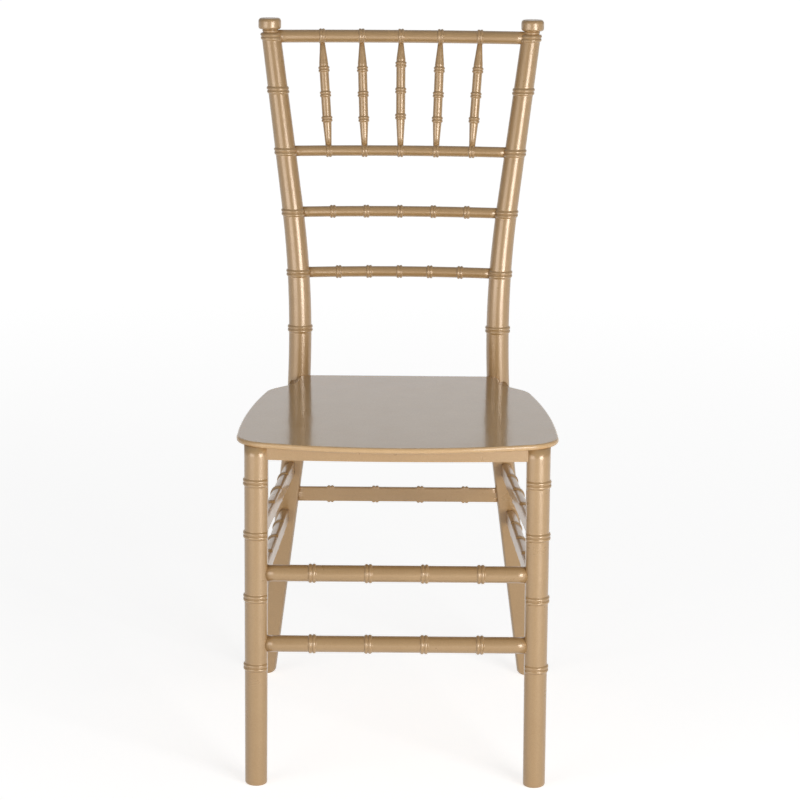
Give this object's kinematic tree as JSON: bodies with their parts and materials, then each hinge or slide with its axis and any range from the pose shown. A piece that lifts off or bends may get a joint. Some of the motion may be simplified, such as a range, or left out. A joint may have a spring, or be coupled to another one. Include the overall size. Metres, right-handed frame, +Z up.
{
  "type": "chiavari chair",
  "caption": "Bamboo-look event chair with bent back posts, ringed spindles and stretchers, and a thin waisted seat plate.",
  "frame": {"origin": "middle of the chair's bounding box, on the floor that its four feet stand on", "axes": "+Z up, -Y the way the sitter faces, +X the sitter's left"},
  "size_m": [0.3974, 0.4895, 0.922],
  "materials": {
    "gold_resin": "satin champagne gold, moulded resin",
    "screw_steel": "zinc plated"
  },
  "bodies": {
    "root": {"back_post_left": "gold_resin", "back_post_right": "gold_resin", "crest_rail": "gold_resin", "front_apron": "gold_resin", "front_leg_left": "gold_resin", "front_leg_right": "gold_resin", "front_stretcher_lower": "gold_resin", "front_stretcher_upper": "gold_resin", "lower_rail": "gold_resin", "middle_rail": "gold_resin", "rear_apron": "gold_resin", "rear_stretcher": "gold_resin", "seat": "gold_resin", "seat_screws": "screw_steel", "side_apron_left": "gold_resin", "side_apron_right": "gold_resin", "side_stretcher_lower_left": "gold_resin", "side_stretcher_lower_right": "gold_resin", "side_stretcher_upper_left": "gold_resin", "side_stretcher_upper_right": "gold_resin", "spindle_1": "gold_resin", "spindle_2": "gold_resin", "spindle_3": "gold_resin", "spindle_4": "gold_resin", "spindle_5": "gold_resin", "spindle_rail": "gold_resin"}
  },
  "joints": []
}
